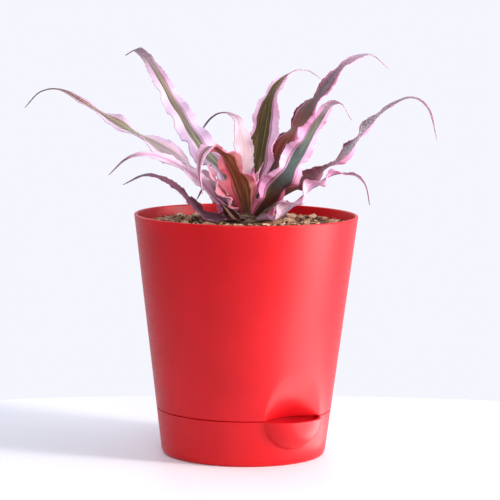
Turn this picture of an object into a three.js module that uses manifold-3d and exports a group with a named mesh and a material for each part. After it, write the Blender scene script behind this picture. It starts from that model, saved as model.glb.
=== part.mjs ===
// A potted earth star, Cryptanthus bivittatus: a low rosette of waved pink and
// olive leaves in potting mix, in a red self-watering pot that stands in its
// own water base. Millimetres, +Z up. The origin is the middle of the base's
// underside, and the mouth where water is poured in faces -Y.
import * as THREE from "three";
import { mergeVertices } from "three/addons/utils/BufferGeometryUtils.js";
import Module from "manifold-3d";

const wasm = await Module();
wasm.setup();

// Driving dimensions of the pot and its water base
const POT_HEIGHT = 129;
const RIM_RADIUS = 60;
const FOOT_RADIUS = 43.9; // where the taper would meet the table
const TAPER = (RIM_RADIUS - FOOT_RADIUS) / POT_HEIGHT;
const SEAM_HEIGHT = 24.8; // where the pot ends and its water base shows
const WALL = 1.8;
const GAP = 0.3; // between pieces that rest on each other
const NEST = WALL + 1.5 * GAP; // how far the pot's foot stands inside the base
const POT_FLOOR = 19; // top of the floor inside the pot
const RIM_ROUNDING = 0.6;
const BASE_FLOOR = 2;
const BASE_ROUNDING = 2; // of the base's lower edge
const GROOVE = { from: 15, to: 35, depth: 0.8 }; // under the base's floor

// Driving dimensions of the filling mouth at the seam
const MOUTH_HALF_WIDTH = 18.5;
const DENT_DEPTH = 8.5; // the pot's wall goes in above the seam
const DENT_HEIGHT = 25;
const CUP_DEPTH = 6.5; // the base's wall comes out below the seam
const CUP_HEIGHT = 16;
const CUP_ROUNDNESS = 0.75; // under 1 gives the cup a steep edge

// Driving dimensions of the slotted well that stands in the water
const WELL = { radius: 9.5, floor: 3, wall: 1.5, slots: 6, slotWidth: 2.4, slotHeight: 8, slotMiddle: 10.5 };
const DRAIN = { radius: 2.2, out: 24 }; // holes in the pot's floor, between the slots

// Driving dimensions of what the pot holds
const SOIL_HEIGHT = 123;
const SOIL_CROWN = 1.2; // how far the mix rises towards the stem
const CHIPS = 40;
const CHIP_SPACING = 8.5;
const CHIP_RING = [15, 52]; // the chips lie between these radii
const STEM_RADIUS = 6.8;
const STEM_TOP_RADIUS = 3.4;
const STEM_FOOT = 109;
const STEM_NARROWS = 133; // height from which the stem tapers
const STEM_TOP = 144;

// Shape that all the leaf blades share
const RIB_THICKNESS = 1.3;
const MARGIN_THICKNESS = 0.7;
const LEAST_THICKNESS = 0.6;
const TIP_THINNING = 0.3; // share of the thickness lost towards the tip
const WIDEST_AT = 0.24; // share of the length
const TAIL_FROM = 0.88; // share of the rest at which the thin tail begins
const TAPER_POWER = 1.3;
const BASE_SHARE = 0.4; // width at the stem over the greatest width
const TIP_HALF_WIDTH = 0.75;
const BASE_CHANNEL = 0.45; // depth of the gutter over the half-width
const TIP_CHANNEL = 0.15;
const WAVES_GROW_BY = 0.2; // share of the length in which the waves grow up
const WAVE_POWER = 1.5; // how the waves grow from rib to margin

// How finely the pieces are stepped
const TURN_STEPS = 52;
const CROWDING = 0.5; // share by which the steps shorten at the mouth
const DENT_STEPS = [30, 36, 42, 50]; // heights
const CUP_STEPS = [9, 11, 14, 18]; // heights
const STEM_STEPS = 20;
const STEPS_ACROSS = 4;
const STEPS_PER_WAVE = 4;

const RED = 0xd81420;
const MIX_BROWN = 0x8a6a48;
const STEM_BROWN = 0x7d6a45;
const LEAF_PINK = 0xd98fb4;
const HEART_PINK = 0xe58aa6;

// Each leaf: heading in degrees round the stem, height of its foot on the stem,
// greatest width, number of margin waves, wave height as a share of the
// half-width, where the first wave starts and how far the second margin lags
// behind (both in quarter waves), the blade's roll about its own line in
// degrees, and the middle line's points past the foot as
// [out from the stem's axis, height]. A point, and with turn the foot, may stand
// some degrees round the axis from the heading. A tail over TAIL_FROM keeps the
// blade broad for longer.
const LEAVES = [
  { name: "leaf_01", heading: 126, foot: 133, width: 14, waves: 5, wave: 0.5, phase: 2, lag: 2, roll: -20,
    line: [[22, 143], [35, 154.5], [62, 169], [88, 182.5], [106, 192], [119, 191], [128.5, 182]] },
  { name: "leaf_02", heading: 102, foot: 136, width: 17, waves: 6, wave: 0.3, phase: 0, lag: 1, roll: -20,
    tail: 1.15,
    line: [[17, 150], [33.5, 162.3], [46, 175.5], [58, 189.5], [71, 205], [82, 213.6], [92, 210.5]] },
  { name: "leaf_03", heading: 158, foot: 127.5, width: 12, waves: 4, wave: 0.4, phase: 0, lag: 1, roll: 0,
    line: [[18, 138], [28, 149], [38, 155.5], [47, 159.7], [57, 161.3], [66, 158.7], [75, 150.5]] },
  { name: "leaf_04", heading: 164, foot: 125.5, width: 12, waves: 4, wave: 0.3, phase: 0, lag: 2, roll: 0,
    line: [[16, 126.5], [24, 128.3], [30, 134.7], [37, 141.3], [46, 148], [57, 150.8], [69, 146]] },
  { name: "leaf_05", heading: 89, foot: 142, width: 11, waves: 4, wave: 0.25, phase: 0, lag: 1, roll: 0,
    tail: 0.55,
    line: [[6, 158, -20], [8, 176.5], [16, 181.5], [23, 182], [30, 180.4], [38, 176], [45.5, 169]] },
  { name: "leaf_06", heading: 192, foot: 131, width: 17, waves: 5, wave: 0.35, phase: 0, lag: 1, roll: 0,
    turn: 40, line: [[9.5, 142, 24], [15, 156, 6], [25, 166], [35, 163], [37, 153], [34, 141]] },
  { name: "leaf_07", heading: 176, foot: 131, width: 11, waves: 3, wave: 0.5, phase: 0, lag: 2, roll: 0,
    line: [[13, 139], [20, 148], [25, 157]] },
  { name: "leaf_08", heading: 22, foot: 139, width: 19, waves: 5, wave: 0.3, phase: 0, lag: 1, roll: 0,
    tail: 0.62,
    line: [[11, 152], [15, 163.5], [18.5, 175.5], [23.5, 189], [30, 196.5], [44, 203], [61, 204],
      [79, 198]] },
  { name: "leaf_09", heading: -11, foot: 134, width: 15, waves: 6, wave: 0.35, phase: 0, lag: 2, roll: 15,
    tail: 1.05, line: [[21, 163.5], [30, 175.5], [44.5, 194], [58, 208.5], [73, 213.7], [85, 206]] },
  { name: "leaf_10", heading: -78, foot: 129, width: 19, waves: 5, wave: 0.3, phase: 0, lag: 1, roll: -20,
    tail: 1, line: [[16, 137], [29, 153], [44, 174], [56, 189], [65, 191], [72, 183]] },
  { name: "leaf_11", heading: -29, foot: 132, width: 14, waves: 7, wave: 0.42, phase: 1, lag: 2, roll: -44,
    line: [[26, 142.5], [40.5, 153], [54, 162.5], [64, 175.5], [75, 186], [88, 192], [98, 186],
      [103, 169]] },
  { name: "leaf_12", heading: -56, foot: 126, width: 18, waves: 5, wave: 0.5, phase: 0, lag: 1, roll: 0,
    line: [[19, 128.4], [31, 139.4], [46, 151], [58, 153], [66, 148], [69, 137]] },
  { name: "leaf_13", heading: 212, foot: 126, width: 9, waves: 2, wave: 0.15, phase: 0, lag: 1, roll: 0,
    line: [[18, 129], [29, 135], [41, 141]] },
  { name: "leaf_14", heading: 62, foot: 133, width: 15, waves: 4, wave: 0.4, phase: 1, lag: 1, roll: 0,
    line: [[24, 143], [48, 149], [70, 143], [82, 131]] },
  { name: "leaf_15", heading: 36, foot: 130, width: 14, waves: 4, wave: 0.4, phase: 2, lag: 1, roll: 0,
    line: [[20, 136], [36, 141], [50, 138], [58, 130]] },
  { name: "leaf_16", heading: 84, foot: 126, width: 13, waves: 4, wave: 0.4, phase: 3, lag: 1, roll: 0,
    line: [[20, 130], [34, 137], [46, 139], [55, 132]] },
  { name: "leaf_17", heading: 16, foot: 126, width: 13, waves: 4, wave: 0.4, phase: 0, lag: 1, roll: 0,
    line: [[18, 129], [31, 134], [42, 131]] },
  { name: "heart_leaf_1", heading: 183, foot: 142, width: 7, waves: 2, wave: 0.2, phase: 0, lag: 1, roll: 0,
    line: [[6, 152], [10, 163]] },
  { name: "heart_leaf_2", heading: -25, foot: 142, width: 7, waves: 2, wave: 0.2, phase: 0, lag: 1, roll: 0,
    line: [[6, 150], [9, 157]] },
  { name: "heart_leaf_3", heading: 260, foot: 142, width: 7, waves: 2, wave: 0.2, phase: 0, lag: 1, roll: 0,
    line: [[6, 149], [8, 155]] },
];

// A solid for cutting and joining, from a closed geometry.
function solidOf(geometry) {
  const bare = geometry.index ? geometry.toNonIndexed() : geometry.clone();
  bare.deleteAttribute("normal");
  bare.deleteAttribute("uv");
  const merged = mergeVertices(bare, 1e-4);
  return new wasm.Manifold(
    new wasm.Mesh({
      numProp: 3,
      vertProperties: new Float32Array(merged.attributes.position.array),
      triVerts: new Uint32Array(merged.index.array),
    }),
  );
}

// A geometry for a mesh, from a solid.
function geometryOf(solid) {
  const mesh = solid.getMesh();
  return new THREE.BufferGeometry()
    .setAttribute("position", new THREE.BufferAttribute(new Float32Array(mesh.vertProperties), 3))
    .setIndex(new THREE.BufferAttribute(new Uint32Array(mesh.triVerts), 1));
}

// A turned piece with +Z up. Its steps round are closer near the mouth, at -Y,
// and shift moves its wall in or out there. A piece that fits inside another has
// its faces split along the other diagonal, as an inner wall's profile runs
// downwards, so that the two stay parallel.
function turned(profile, shift = () => 0, { steps = TURN_STEPS, fitsInside = false } = {}) {
  const geometry = new THREE.LatheGeometry(
    profile.map(([r, z]) => new THREE.Vector2(r, z)),
    steps,
  );
  if (fitsInside)
    for (let i = 0; i < geometry.index.array.length; i += 6) {
      const [a, b, d, c] = geometry.index.array.slice(i, i + 4);
      geometry.index.array.set([a, b, c, a, c, d], i);
    }
  geometry.rotateX(Math.PI / 2);
  const place = geometry.attributes.position;
  for (let i = 0; i < place.count; i++) {
    const radius = Math.hypot(place.getX(i), place.getY(i));
    if (radius < 1e-6) continue;
    // the angle from the mouth, before and after the steps are crowded
    const even = Math.atan2(place.getX(i), -place.getY(i));
    const angle = even - CROWDING * Math.sin(even);
    const z = place.getZ(i);
    const moved = radius + shift(angle, z, radius);
    place.setXYZ(i, moved * Math.sin(angle), -moved * Math.cos(angle), z);
  }
  return geometry;
}

// Outer radius of pot and base at a height
const tapered = (z) => FOOT_RADIUS + TAPER * z;

// How far a wall stands from its round shape at the mouth, from 1 in the middle
// of the seam to 0 at the edge of the dent or the cup.
function fade(angle, rise) {
  const across = (angle * tapered(SEAM_HEIGHT)) / MOUTH_HALF_WIDTH;
  return Math.max(0, 1 - across ** 2 - rise ** 2);
}
const dent = (angle, z, radius) =>
  radius < 2 * WELL.radius ? 0 : -DENT_DEPTH * fade(angle, Math.max(0, z - SEAM_HEIGHT) / DENT_HEIGHT);
const cup = (angle, z) => CUP_DEPTH * fade(angle, (SEAM_HEIGHT - z) / CUP_HEIGHT) ** CUP_ROUNDNESS;

// The water base: a shallow dish that carries the pot on its top edge. Its
// wall swells into a cup at the mouth.
function baseSolid() {
  const heights = [5, ...CUP_STEPS, SEAM_HEIGHT - GAP];
  const profile = [
    [0, 0],
    [GROOVE.from, 0],
    [GROOVE.from + GROOVE.depth, GROOVE.depth],
    [GROOVE.to - GROOVE.depth, GROOVE.depth],
    [GROOVE.to, 0],
    [tapered(0) - 1.3 * BASE_ROUNDING, 0],
    [tapered(0) - 0.3 * BASE_ROUNDING, BASE_ROUNDING / 2],
    ...heights.map((z) => [tapered(z), z]),
    ...heights.map((z) => [tapered(z) - WALL, z]).reverse(),
    [tapered(BASE_FLOOR) - WALL - BASE_ROUNDING, BASE_FLOOR],
    [0, BASE_FLOOR],
  ];
  return solidOf(turned(profile, cup));
}

// The pot: a tapered shell whose foot nests in the base, with a slotted well
// that reaches down into the water so that the mix stays moist.
function potSolid() {
  const under = POT_FLOOR - WALL;
  const heights = [...DENT_STEPS, POT_HEIGHT - RIM_ROUNDING];
  const profile = [
    [0, WELL.floor],
    [WELL.radius - 1, WELL.floor],
    [WELL.radius, under],
    [tapered(under) - NEST, under],
    [tapered(SEAM_HEIGHT) - NEST, SEAM_HEIGHT],
    [tapered(SEAM_HEIGHT), SEAM_HEIGHT],
    ...heights.map((z) => [tapered(z), z]),
    [RIM_RADIUS - RIM_ROUNDING, POT_HEIGHT],
    [RIM_RADIUS - WALL + RIM_ROUNDING / 2, POT_HEIGHT],
    ...heights.map((z) => [tapered(z) - WALL, z]).reverse(),
    [tapered(SEAM_HEIGHT) - NEST - WALL, SEAM_HEIGHT],
    [tapered(POT_FLOOR) - NEST - WALL, POT_FLOOR],
    [WELL.radius - WELL.wall, POT_FLOOR],
    [WELL.radius - WELL.wall - 1, WELL.floor + WELL.wall],
    [0, WELL.floor + WELL.wall],
  ];
  let pot = solidOf(turned(profile, dent));
  for (let i = 0; i < WELL.slots; i++) {
    const angle = (2 * Math.PI * i) / WELL.slots;
    const slot = new THREE.BoxGeometry(4 * WELL.wall, WELL.slotWidth, WELL.slotHeight);
    slot.translate(WELL.radius - 1, 0, WELL.slotMiddle);
    slot.rotateZ(angle);
    const drain = new THREE.CylinderGeometry(DRAIN.radius, DRAIN.radius, 3 * WALL, 10);
    drain.rotateX(Math.PI / 2);
    drain.translate(DRAIN.out, 0, POT_FLOOR - WALL / 2);
    drain.rotateZ(angle + Math.PI / WELL.slots);
    pot = pot.subtract(solidOf(slot)).subtract(solidOf(drain));
  }
  return pot;
}

// Random numbers from 0 to 1 that are the same in each run
function seeded(seed) {
  let state = seed;
  return () => {
    state = (state * 16807) % 2147483647;
    return state / 2147483647;
  };
}

// The potting mix fills the pot and its well, and has a plain hole for the stem.
const soilTop = (radius) => SOIL_HEIGHT + SOIL_CROWN * (1 - radius / RIM_RADIUS);
function mixSolid() {
  const bottom = POT_FLOOR + GAP;
  const inWell = WELL.radius - WELL.wall - GAP;
  const wellBottom = WELL.floor + WELL.wall + GAP;
  const hole = STEM_RADIUS + GAP;
  const profile = [
    [0, wellBottom],
    [inWell - 1, wellBottom],
    [inWell, bottom],
    [tapered(bottom) - NEST - WALL - GAP, bottom],
    [tapered(SEAM_HEIGHT) - NEST - WALL - GAP, SEAM_HEIGHT],
    ...[...DENT_STEPS, SOIL_HEIGHT].map((z) => [tapered(z) - WALL - GAP, z]),
    ...[36, 20, hole].map((radius) => [radius, soilTop(radius)]),
    [hole, STEM_FOOT - GAP],
    [0, STEM_FOOT - GAP],
  ];
  return addChips(solidOf(turned(profile, dent, { fitsInside: true })));
}

// Flat husk chips half sunk in the top of the mix, none on top of another
function addChips(mix) {
  const random = seeded(7);
  const between = (low, high) => low + (high - low) * random();
  const placed = [];
  while (placed.length < CHIPS) {
    const radius = Math.sqrt(between(CHIP_RING[0] ** 2, CHIP_RING[1] ** 2));
    const angle = between(0, 2 * Math.PI);
    const place = new THREE.Vector3(radius * Math.cos(angle), radius * Math.sin(angle), soilTop(radius));
    if (placed.some((other) => other.distanceTo(place) < CHIP_SPACING)) continue;
    placed.push(place);
    const chip = new THREE.CylinderGeometry(between(3, 4), between(3.5, 4.6), between(2.4, 3.4), 6);
    chip.rotateX(Math.PI / 2);
    chip.scale(1, between(0.45, 0.7), 1);
    chip.rotateY(between(-0.25, 0.25));
    chip.rotateZ(between(0, Math.PI));
    chip.translate(place.x, place.y, place.z + 0.2);
    mix = mix.add(solidOf(chip));
  }
  return mix;
}

// The stem: short and stout, narrowing upwards, with its foot in the mix.
function stemRadius(z) {
  const taper = Math.max(0, z - STEM_NARROWS) / (STEM_TOP - STEM_NARROWS);
  return THREE.MathUtils.lerp(STEM_RADIUS, STEM_TOP_RADIUS, taper);
}
function stemSolid() {
  const profile = [
    [0, STEM_FOOT],
    [STEM_RADIUS - 1.5, STEM_FOOT],
    [STEM_RADIUS, STEM_FOOT + 3],
    [STEM_RADIUS, STEM_NARROWS],
    [STEM_TOP_RADIUS, STEM_TOP],
    [STEM_TOP_RADIUS / 2, STEM_TOP + 1.5],
    [0, STEM_TOP + 2],
  ];
  return solidOf(turned(profile, undefined, { steps: STEM_STEPS }));
}

// A blade's half-width along its length: widest a quarter of the way out, then
// drawn to a long thin tip.
function halfWidth(leaf, t) {
  const rising = THREE.MathUtils.lerp(BASE_SHARE, 1, Math.sin((Math.PI / 2) * Math.min(1, t / WIDEST_AT)));
  const past = Math.max(0, t - WIDEST_AT) / (1 - WIDEST_AT);
  const falling = Math.max(0, 1 - (past / (leaf.tail ?? TAIL_FROM)) ** TAPER_POWER);
  return Math.max(TIP_HALF_WIDTH, (leaf.width / 2) * rising * falling);
}

// A point of a blade's middle surface: t runs from stem to tip, s from one
// margin to the other, -1 to 1. The blade's upper face looks to the stem's axis.
function bladePoint(leaf, line, t, s) {
  const middle = line.getPointAt(t);
  const along = line.getTangentAt(t);
  const side = new THREE.Vector3(-middle.y, middle.x, 0).normalize();
  const above = new THREE.Vector3().crossVectors(along, side).normalize();
  side.crossVectors(above, along).normalize();
  const roll = THREE.MathUtils.degToRad(leaf.roll) * Math.min(1, t / WIDEST_AT);
  side.applyAxisAngle(along, roll);
  above.applyAxisAngle(along, roll);
  const half = halfWidth(leaf, t);
  const channel = THREE.MathUtils.lerp(BASE_CHANNEL, TIP_CHANNEL, Math.min(1, t / WIDEST_AT)) * s * s;
  const quarters = 4 * leaf.waves * t + leaf.phase + (s > 0 ? leaf.lag : 0);
  const growth = Math.min(1, t / WAVES_GROW_BY) * Math.abs(s) ** WAVE_POWER;
  const wave = leaf.wave * growth * Math.sin((Math.PI / 2) * quarters);
  return middle.addScaledVector(side, s * half).addScaledVector(above, (channel + wave) * half);
}

// How far out a leaf's foot stands so that neither its rib nor its margins,
// which curve in round the stem, come nearer to it than the gap.
function footReach(leaf) {
  const stem = stemRadius(leaf.foot) + GAP;
  const [out, z] = leaf.line[0];
  const steepness = Math.sin(Math.atan2(z - leaf.foot, out - stem));
  const half = (BASE_SHARE * leaf.width) / 2;
  const rib = stem + (steepness * RIB_THICKNESS) / 2;
  const margin = Math.sqrt((stem + (steepness * MARGIN_THICKNESS) / 2) ** 2 - half ** 2);
  return Math.max(rib, margin + steepness * BASE_CHANNEL * half);
}

// The middle line of a leaf, from its foot against the stem to its tip.
function middleLine(leaf) {
  const at = (out, z, turn = 0) => {
    const angle = THREE.MathUtils.degToRad(leaf.heading + turn);
    return new THREE.Vector3(out * Math.cos(angle), out * Math.sin(angle), z);
  };
  const points = [at(footReach(leaf), leaf.foot, leaf.turn), ...leaf.line.map((point) => at(...point))];
  return new THREE.CatmullRomCurve3(points, false, "catmullrom", 0.5);
}

// A blade's thickness and the direction across it at a point
function thickness(t, s) {
  const full = THREE.MathUtils.lerp(RIB_THICKNESS, MARGIN_THICKNESS, Math.abs(s));
  return Math.max(LEAST_THICKNESS, full * (1 - TIP_THINNING * t));
}
function normal(leaf, line, t, s) {
  const nudge = 1e-3;
  const ahead = bladePoint(leaf, line, Math.min(1, t + nudge), s);
  const back = bladePoint(leaf, line, Math.max(0, t - nudge), s);
  const right = bladePoint(leaf, line, t, s + nudge);
  const left = bladePoint(leaf, line, t, s - nudge);
  return ahead.sub(back).cross(right.sub(left)).normalize();
}

// The blade as a closed solid: two like grids joined along their edges, both
// split into triangles the same way.
function leafGeometry(leaf) {
  const line = middleLine(leaf);
  const rows = leaf.waves * STEPS_PER_WAVE;
  const columns = STEPS_ACROSS;
  const places = [];
  for (const face of [1, -1])
    for (let row = 0; row <= rows; row++)
      for (let column = 0; column <= columns; column++) {
        const t = row / rows;
        const s = (2 * column) / columns - 1;
        const point = bladePoint(leaf, line, t, s);
        places.push(...point.addScaledVector(normal(leaf, line, t, s), (face * thickness(t, s)) / 2));
      }
  const top = (row, column) => row * (columns + 1) + column;
  const under = (row, column) => top(row, column) + (rows + 1) * (columns + 1);
  const index = [];
  const quad = (a, b, c, d) => index.push(a, b, c, a, c, d);
  for (let row = 0; row < rows; row++) {
    for (let column = 0; column < columns; column++) {
      quad(top(row, column), top(row + 1, column), top(row + 1, column + 1), top(row, column + 1));
      const [a, b] = [under(row, column), under(row + 1, column)];
      const [c, d] = [under(row + 1, column + 1), under(row, column + 1)];
      index.push(a, c, b, a, d, c);
    }
    quad(top(row + 1, 0), top(row, 0), under(row, 0), under(row + 1, 0));
    quad(top(row, columns), top(row + 1, columns), under(row + 1, columns), under(row, columns));
  }
  for (let column = 0; column < columns; column++) {
    quad(top(0, column), top(0, column + 1), under(0, column + 1), under(0, column));
    quad(top(rows, column + 1), top(rows, column), under(rows, column), under(rows, column + 1));
  }
  return new THREE.BufferGeometry()
    .setAttribute("position", new THREE.Float32BufferAttribute(places, 3))
    .setIndex(index);
}

// The whole plant in its pot
const finish = (color, roughness) => new THREE.MeshStandardMaterial({ color, roughness, metalness: 0 });
const plant = new THREE.Group();
function add(name, geometry, material) {
  geometry.computeVertexNormals();
  const mesh = new THREE.Mesh(geometry, material);
  mesh.name = name;
  plant.add(mesh);
}
add("water_base", geometryOf(baseSolid()), finish(RED, 0.38));
add("pot", geometryOf(potSolid()), finish(RED, 0.38));
add("potting_mix", geometryOf(mixSolid()), finish(MIX_BROWN, 0.95));
add("stem", geometryOf(stemSolid()), finish(STEM_BROWN, 0.8));
for (const leaf of LEAVES) {
  const color = leaf.name.startsWith("heart") ? HEART_PINK : LEAF_PINK;
  add(leaf.name, leafGeometry(leaf), finish(color, 0.5));
}

export default plant;
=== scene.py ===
# A potted earth star, Cryptanthus bivittatus: a low rosette of waved pink and
# olive leaves in husk potting mix, in a red self-watering pot on its water base.
# Metres, +Z up, in the frame of the solids. The filling mouth faces -Y.
import random
from math import atan2, cos, hypot, pi, radians, sin, sqrt

import bmesh
import bpy
import numpy as np
from mathutils import Matrix, Vector, noise


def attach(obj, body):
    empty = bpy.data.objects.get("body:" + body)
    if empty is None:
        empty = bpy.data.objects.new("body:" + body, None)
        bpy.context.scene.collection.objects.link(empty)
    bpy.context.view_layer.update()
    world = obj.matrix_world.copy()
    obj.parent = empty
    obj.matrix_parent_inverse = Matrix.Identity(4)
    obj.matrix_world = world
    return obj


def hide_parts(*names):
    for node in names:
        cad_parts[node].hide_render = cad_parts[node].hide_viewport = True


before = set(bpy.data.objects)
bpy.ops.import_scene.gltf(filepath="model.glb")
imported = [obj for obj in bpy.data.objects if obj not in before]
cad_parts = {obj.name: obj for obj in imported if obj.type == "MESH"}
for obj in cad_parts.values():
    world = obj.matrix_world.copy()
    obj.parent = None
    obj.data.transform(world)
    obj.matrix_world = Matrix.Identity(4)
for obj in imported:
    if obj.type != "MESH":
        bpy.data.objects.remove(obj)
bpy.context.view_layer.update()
scene = bpy.context.scene
link = scene.collection.objects.link

# The camera: a long lens 1.35 m away and a little above the pot, turned so
# that the filling mouth comes to the right of the picture's middle.
MM = 0.001
CAMERA_TURN = Matrix.Rotation(radians(-36), 4, "Z")
CAMERA_PLACE = Vector((0, -1322.6, 264.3)) * MM
CAMERA_YAW = 0.0017
CAMERA_PITCH = 0.1164
CAMERA_ROLL = 0.0136
LENS_PER_SENSOR = 2484.2 / 500

level = Vector((cos(CAMERA_YAW), -sin(CAMERA_YAW), 0))
ahead = Vector((0, cos(CAMERA_PITCH), -sin(CAMERA_PITCH)))
ahead = (Matrix.Rotation(-CAMERA_YAW, 3, "Z") @ ahead).normalized()
upright = level.cross(ahead)
across = level * cos(CAMERA_ROLL) + upright * sin(CAMERA_ROLL)
upwards = upright * cos(CAMERA_ROLL) - level * sin(CAMERA_ROLL)
lens = bpy.data.cameras.new("camera")
lens.sensor_width = 36
lens.lens = LENS_PER_SENSOR * lens.sensor_width
camera = bpy.data.objects.new("camera", lens)
looking = Matrix((across, upwards, -ahead)).transposed().to_4x4()
camera.matrix_world = CAMERA_TURN @ Matrix.Translation(CAMERA_PLACE) @ looking
link(camera)
scene.camera = camera

# The studio: an oval white floor, a pale room that is brighter behind the pot
# and on its right, low daylight from the right and a soft light from the front.
# None of it is the object. Colours come out as they are, without a film's curve.
ROOM_SEEN = (0.915, 0.92, 0.99, 1)
ROOM_COLOUR = (0.84, 0.88, 1.0, 1)
ROOM_BRIGHTNESS = (0.17, 1.05)
# the brightness changes along this direction, over this reach either way
BRIGHT_SIDE = (0.55, 0.84, 0)
BRIGHT_REACH = 0.7
FLOOR_STRETCH = Matrix.Diagonal((1.7, 1, 1, 1))
FLOOR_PLACE = CAMERA_TURN @ Matrix.Translation((0.04, -0.0575, 0)) @ FLOOR_STRETCH
FLOOR_RADIUS = 0.2325
LIGHTS = {
    # name: (place, where the camera looks along +Y, size, power, colour)
    "sun": ((1.20, -0.52, 0.80), 0.3, 15, (1.0, 0.98, 0.95)),
    "window": ((1.6, -0.30, 0.06), 1.2, 44, (1.0, 0.97, 0.97)),
    "front_soft": ((0.0, -1.6, 0.8), 1.3, 18, (0.93, 0.95, 1.0)),
    "back_soft": ((-0.9, 0.9, 0.9), 0.9, 3, (0.90, 0.90, 1.0)),
}
LIT_PLACE = Vector((0, 0, 0.11))
TABLE_GLOW = ((0.135, -0.045, 0.002), 0.18, 0.36, (1, 1, 1))
scene.view_settings.view_transform = "Standard"


def node(tree, kind, settings=None, output=0, **sockets):
    """An output of a new shader node. Sockets take values or other outputs."""
    new = tree.nodes.new("ShaderNode" + kind)
    for key, value in (settings or {}).items():
        setattr(new, key, value)
    for key, value in sockets.items():
        socket = new.inputs[int(key[1:]) if key[0] == "i" and key[1:].isdigit() else key]
        if isinstance(value, bpy.types.NodeSocket):
            tree.links.new(value, socket)
        else:
            socket.default_value = value
    return new.outputs[output]


def plain_finish(name, colour, roughness):
    """A new material and its surface shader, which knows its tree as id_data."""
    skin = bpy.data.materials.new(name)
    skin.use_nodes = True
    surface = skin.node_tree.nodes["Principled BSDF"]
    surface.inputs["Base Color"].default_value = colour
    surface.inputs["Roughness"].default_value = roughness
    return skin, surface


def object_of(name, made):
    """A new object in the scene, with the mesh of a bmesh."""
    mesh = bpy.data.meshes.new(name)
    made.to_mesh(mesh)
    made.free()
    new = bpy.data.objects.new(name, mesh)
    link(new)
    return new


def feed(surface, socket, value):
    """Lets an output drive a socket of a surface."""
    surface.id_data.links.new(value, surface.inputs[socket])


def object_place(surface):
    """Where on the object a point lies."""
    return node(surface.id_data, "TexCoord", output="Object")


def noisy(place, scale, detail, roughness=0.5):
    """Noise by place."""
    return node(place.id_data, "TexNoise", Vector=place, Scale=scale, Detail=detail, Roughness=roughness)


def stretched(place, scale):
    """A place stretched along its axes."""
    return node(place.id_data, "Mapping", Vector=place, Scale=scale)


def ranged(value, source, target=(0, 1), smooth=False):
    """A value carried from one range over to another, and kept inside it."""
    kind = "SMOOTHSTEP" if smooth else "LINEAR"
    ends = {"From Min": source[0], "From Max": source[1], "To Min": target[0], "To Max": target[1]}
    return node(value.id_data, "MapRange", {"interpolation_type": kind}, Value=value, **ends)


def toned(value, *stops):
    """A colour by a value, from stops of (position, colour)."""
    shade = node(value.id_data, "ValToRGB", Fac=value)
    elements = shade.node.color_ramp.elements
    for element, (position, colour) in zip(elements, (stops[0], stops[-1])):
        element.position = position
        element.color = (*colour, 1)
    for position, colour in stops[1:-1]:
        elements.new(position).color = (*colour, 1)
    return shade


def scaled(colour, factor):
    """A colour made lighter or darker."""
    return node(colour.id_data, "VectorMath", {"operation": "SCALE"}, i0=colour, Scale=factor)


def relief(surface, height, strength, depth):
    """Shades a surface as if a texture stood out from it."""
    feed(surface, "Normal", node(surface.id_data, "Bump", Height=height, Strength=strength, Distance=depth))


def soft_inside(surface, shine, weight, depths):
    """Sets how much a surface mirrors and how far light spreads below it."""
    surface.inputs["Specular IOR Level"].default_value = shine
    surface.inputs["Subsurface Weight"].default_value = weight
    surface.inputs["Subsurface Radius"].default_value = depths
    surface.inputs["Subsurface Scale"].default_value = 1


room = bpy.data.worlds.new("room")
scene.world = room
room.use_nodes = True
room_tree = room.node_tree
behind = node(room_tree, "VectorMath", {"operation": "DOT_PRODUCT"}, "Value",
              i0=node(room_tree, "TexCoord", output="Generated"), i1=CAMERA_TURN @ Vector(BRIGHT_SIDE))
brightness = ranged(behind, (-BRIGHT_REACH, BRIGHT_REACH), ROOM_BRIGHTNESS)
lighting = node(room_tree, "Background", Color=ROOM_COLOUR, Strength=brightness)
seen = node(room_tree, "Background", Color=ROOM_SEEN, Strength=1.0)
room_light = node(room_tree, "MixShader", i0=node(room_tree, "LightPath", output="Is Camera Ray"),
                  i1=lighting, i2=seen)
room_tree.links.new(room_light, room_tree.nodes["World Output"].inputs["Surface"])

table = bmesh.new()
bmesh.ops.create_circle(table, cap_ends=True, segments=160, radius=FLOOR_RADIUS, matrix=FLOOR_PLACE)
table_top = object_of("table_top", table)
table_top.data.materials.append(plain_finish("white_table", (0.93, 0.93, 0.96, 1), 0.5)[0])


def disk_lamp(name, size, power, colour):
    """A round soft lamp that the camera doesn't see."""
    lamp = bpy.data.lights.new(name, "AREA")
    lamp.shape = "DISK"
    lamp.size = size
    lamp.energy = power
    lamp.color = colour
    light = bpy.data.objects.new(name, lamp)
    light.visible_camera = False
    link(light)
    return light


for name, (place, *settings) in LIGHTS.items():
    spot = CAMERA_TURN @ Vector(place)
    aim = (LIT_PLACE - spot).to_track_quat("-Z", "Y").to_matrix().to_4x4()
    disk_lamp(name, *settings).matrix_world = Matrix.Translation(spot) @ aim

# The sunlit table is brighter than a picture can show. A lamp that lies on it,
# facing up, adds that light to what glossy surfaces mirror, and to nothing else.
glow_place, *glow_settings = TABLE_GLOW
glow = disk_lamp("table_glow", *glow_settings)
glow.visible_diffuse = False
glow.matrix_world = CAMERA_TURN @ Matrix.Translation(glow_place) @ Matrix.Rotation(pi, 4, "X")

# The water base: a shallow dish of satin red polypropylene, injection moulded,
# that carries the pot on its top edge. Its wall swells into a cup at the mouth.
# Lengths are in millimetres up to piece(), which makes metres of them.
POT_HEIGHT = 129
RIM_RADIUS = 60
FOOT_RADIUS = 43.9
TAPER = (RIM_RADIUS - FOOT_RADIUS) / POT_HEIGHT
SEAM_HEIGHT = 24.8
WALL = 1.8
GAP = 0.3
NEST = WALL + 1.5 * GAP
EDGE = 0.35
BASE_FLOOR = 2
BASE_ROUNDING = 2
# degrees of the foot's rounding, up to the leaning wall
ROUNDING_TURN = 84
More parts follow.
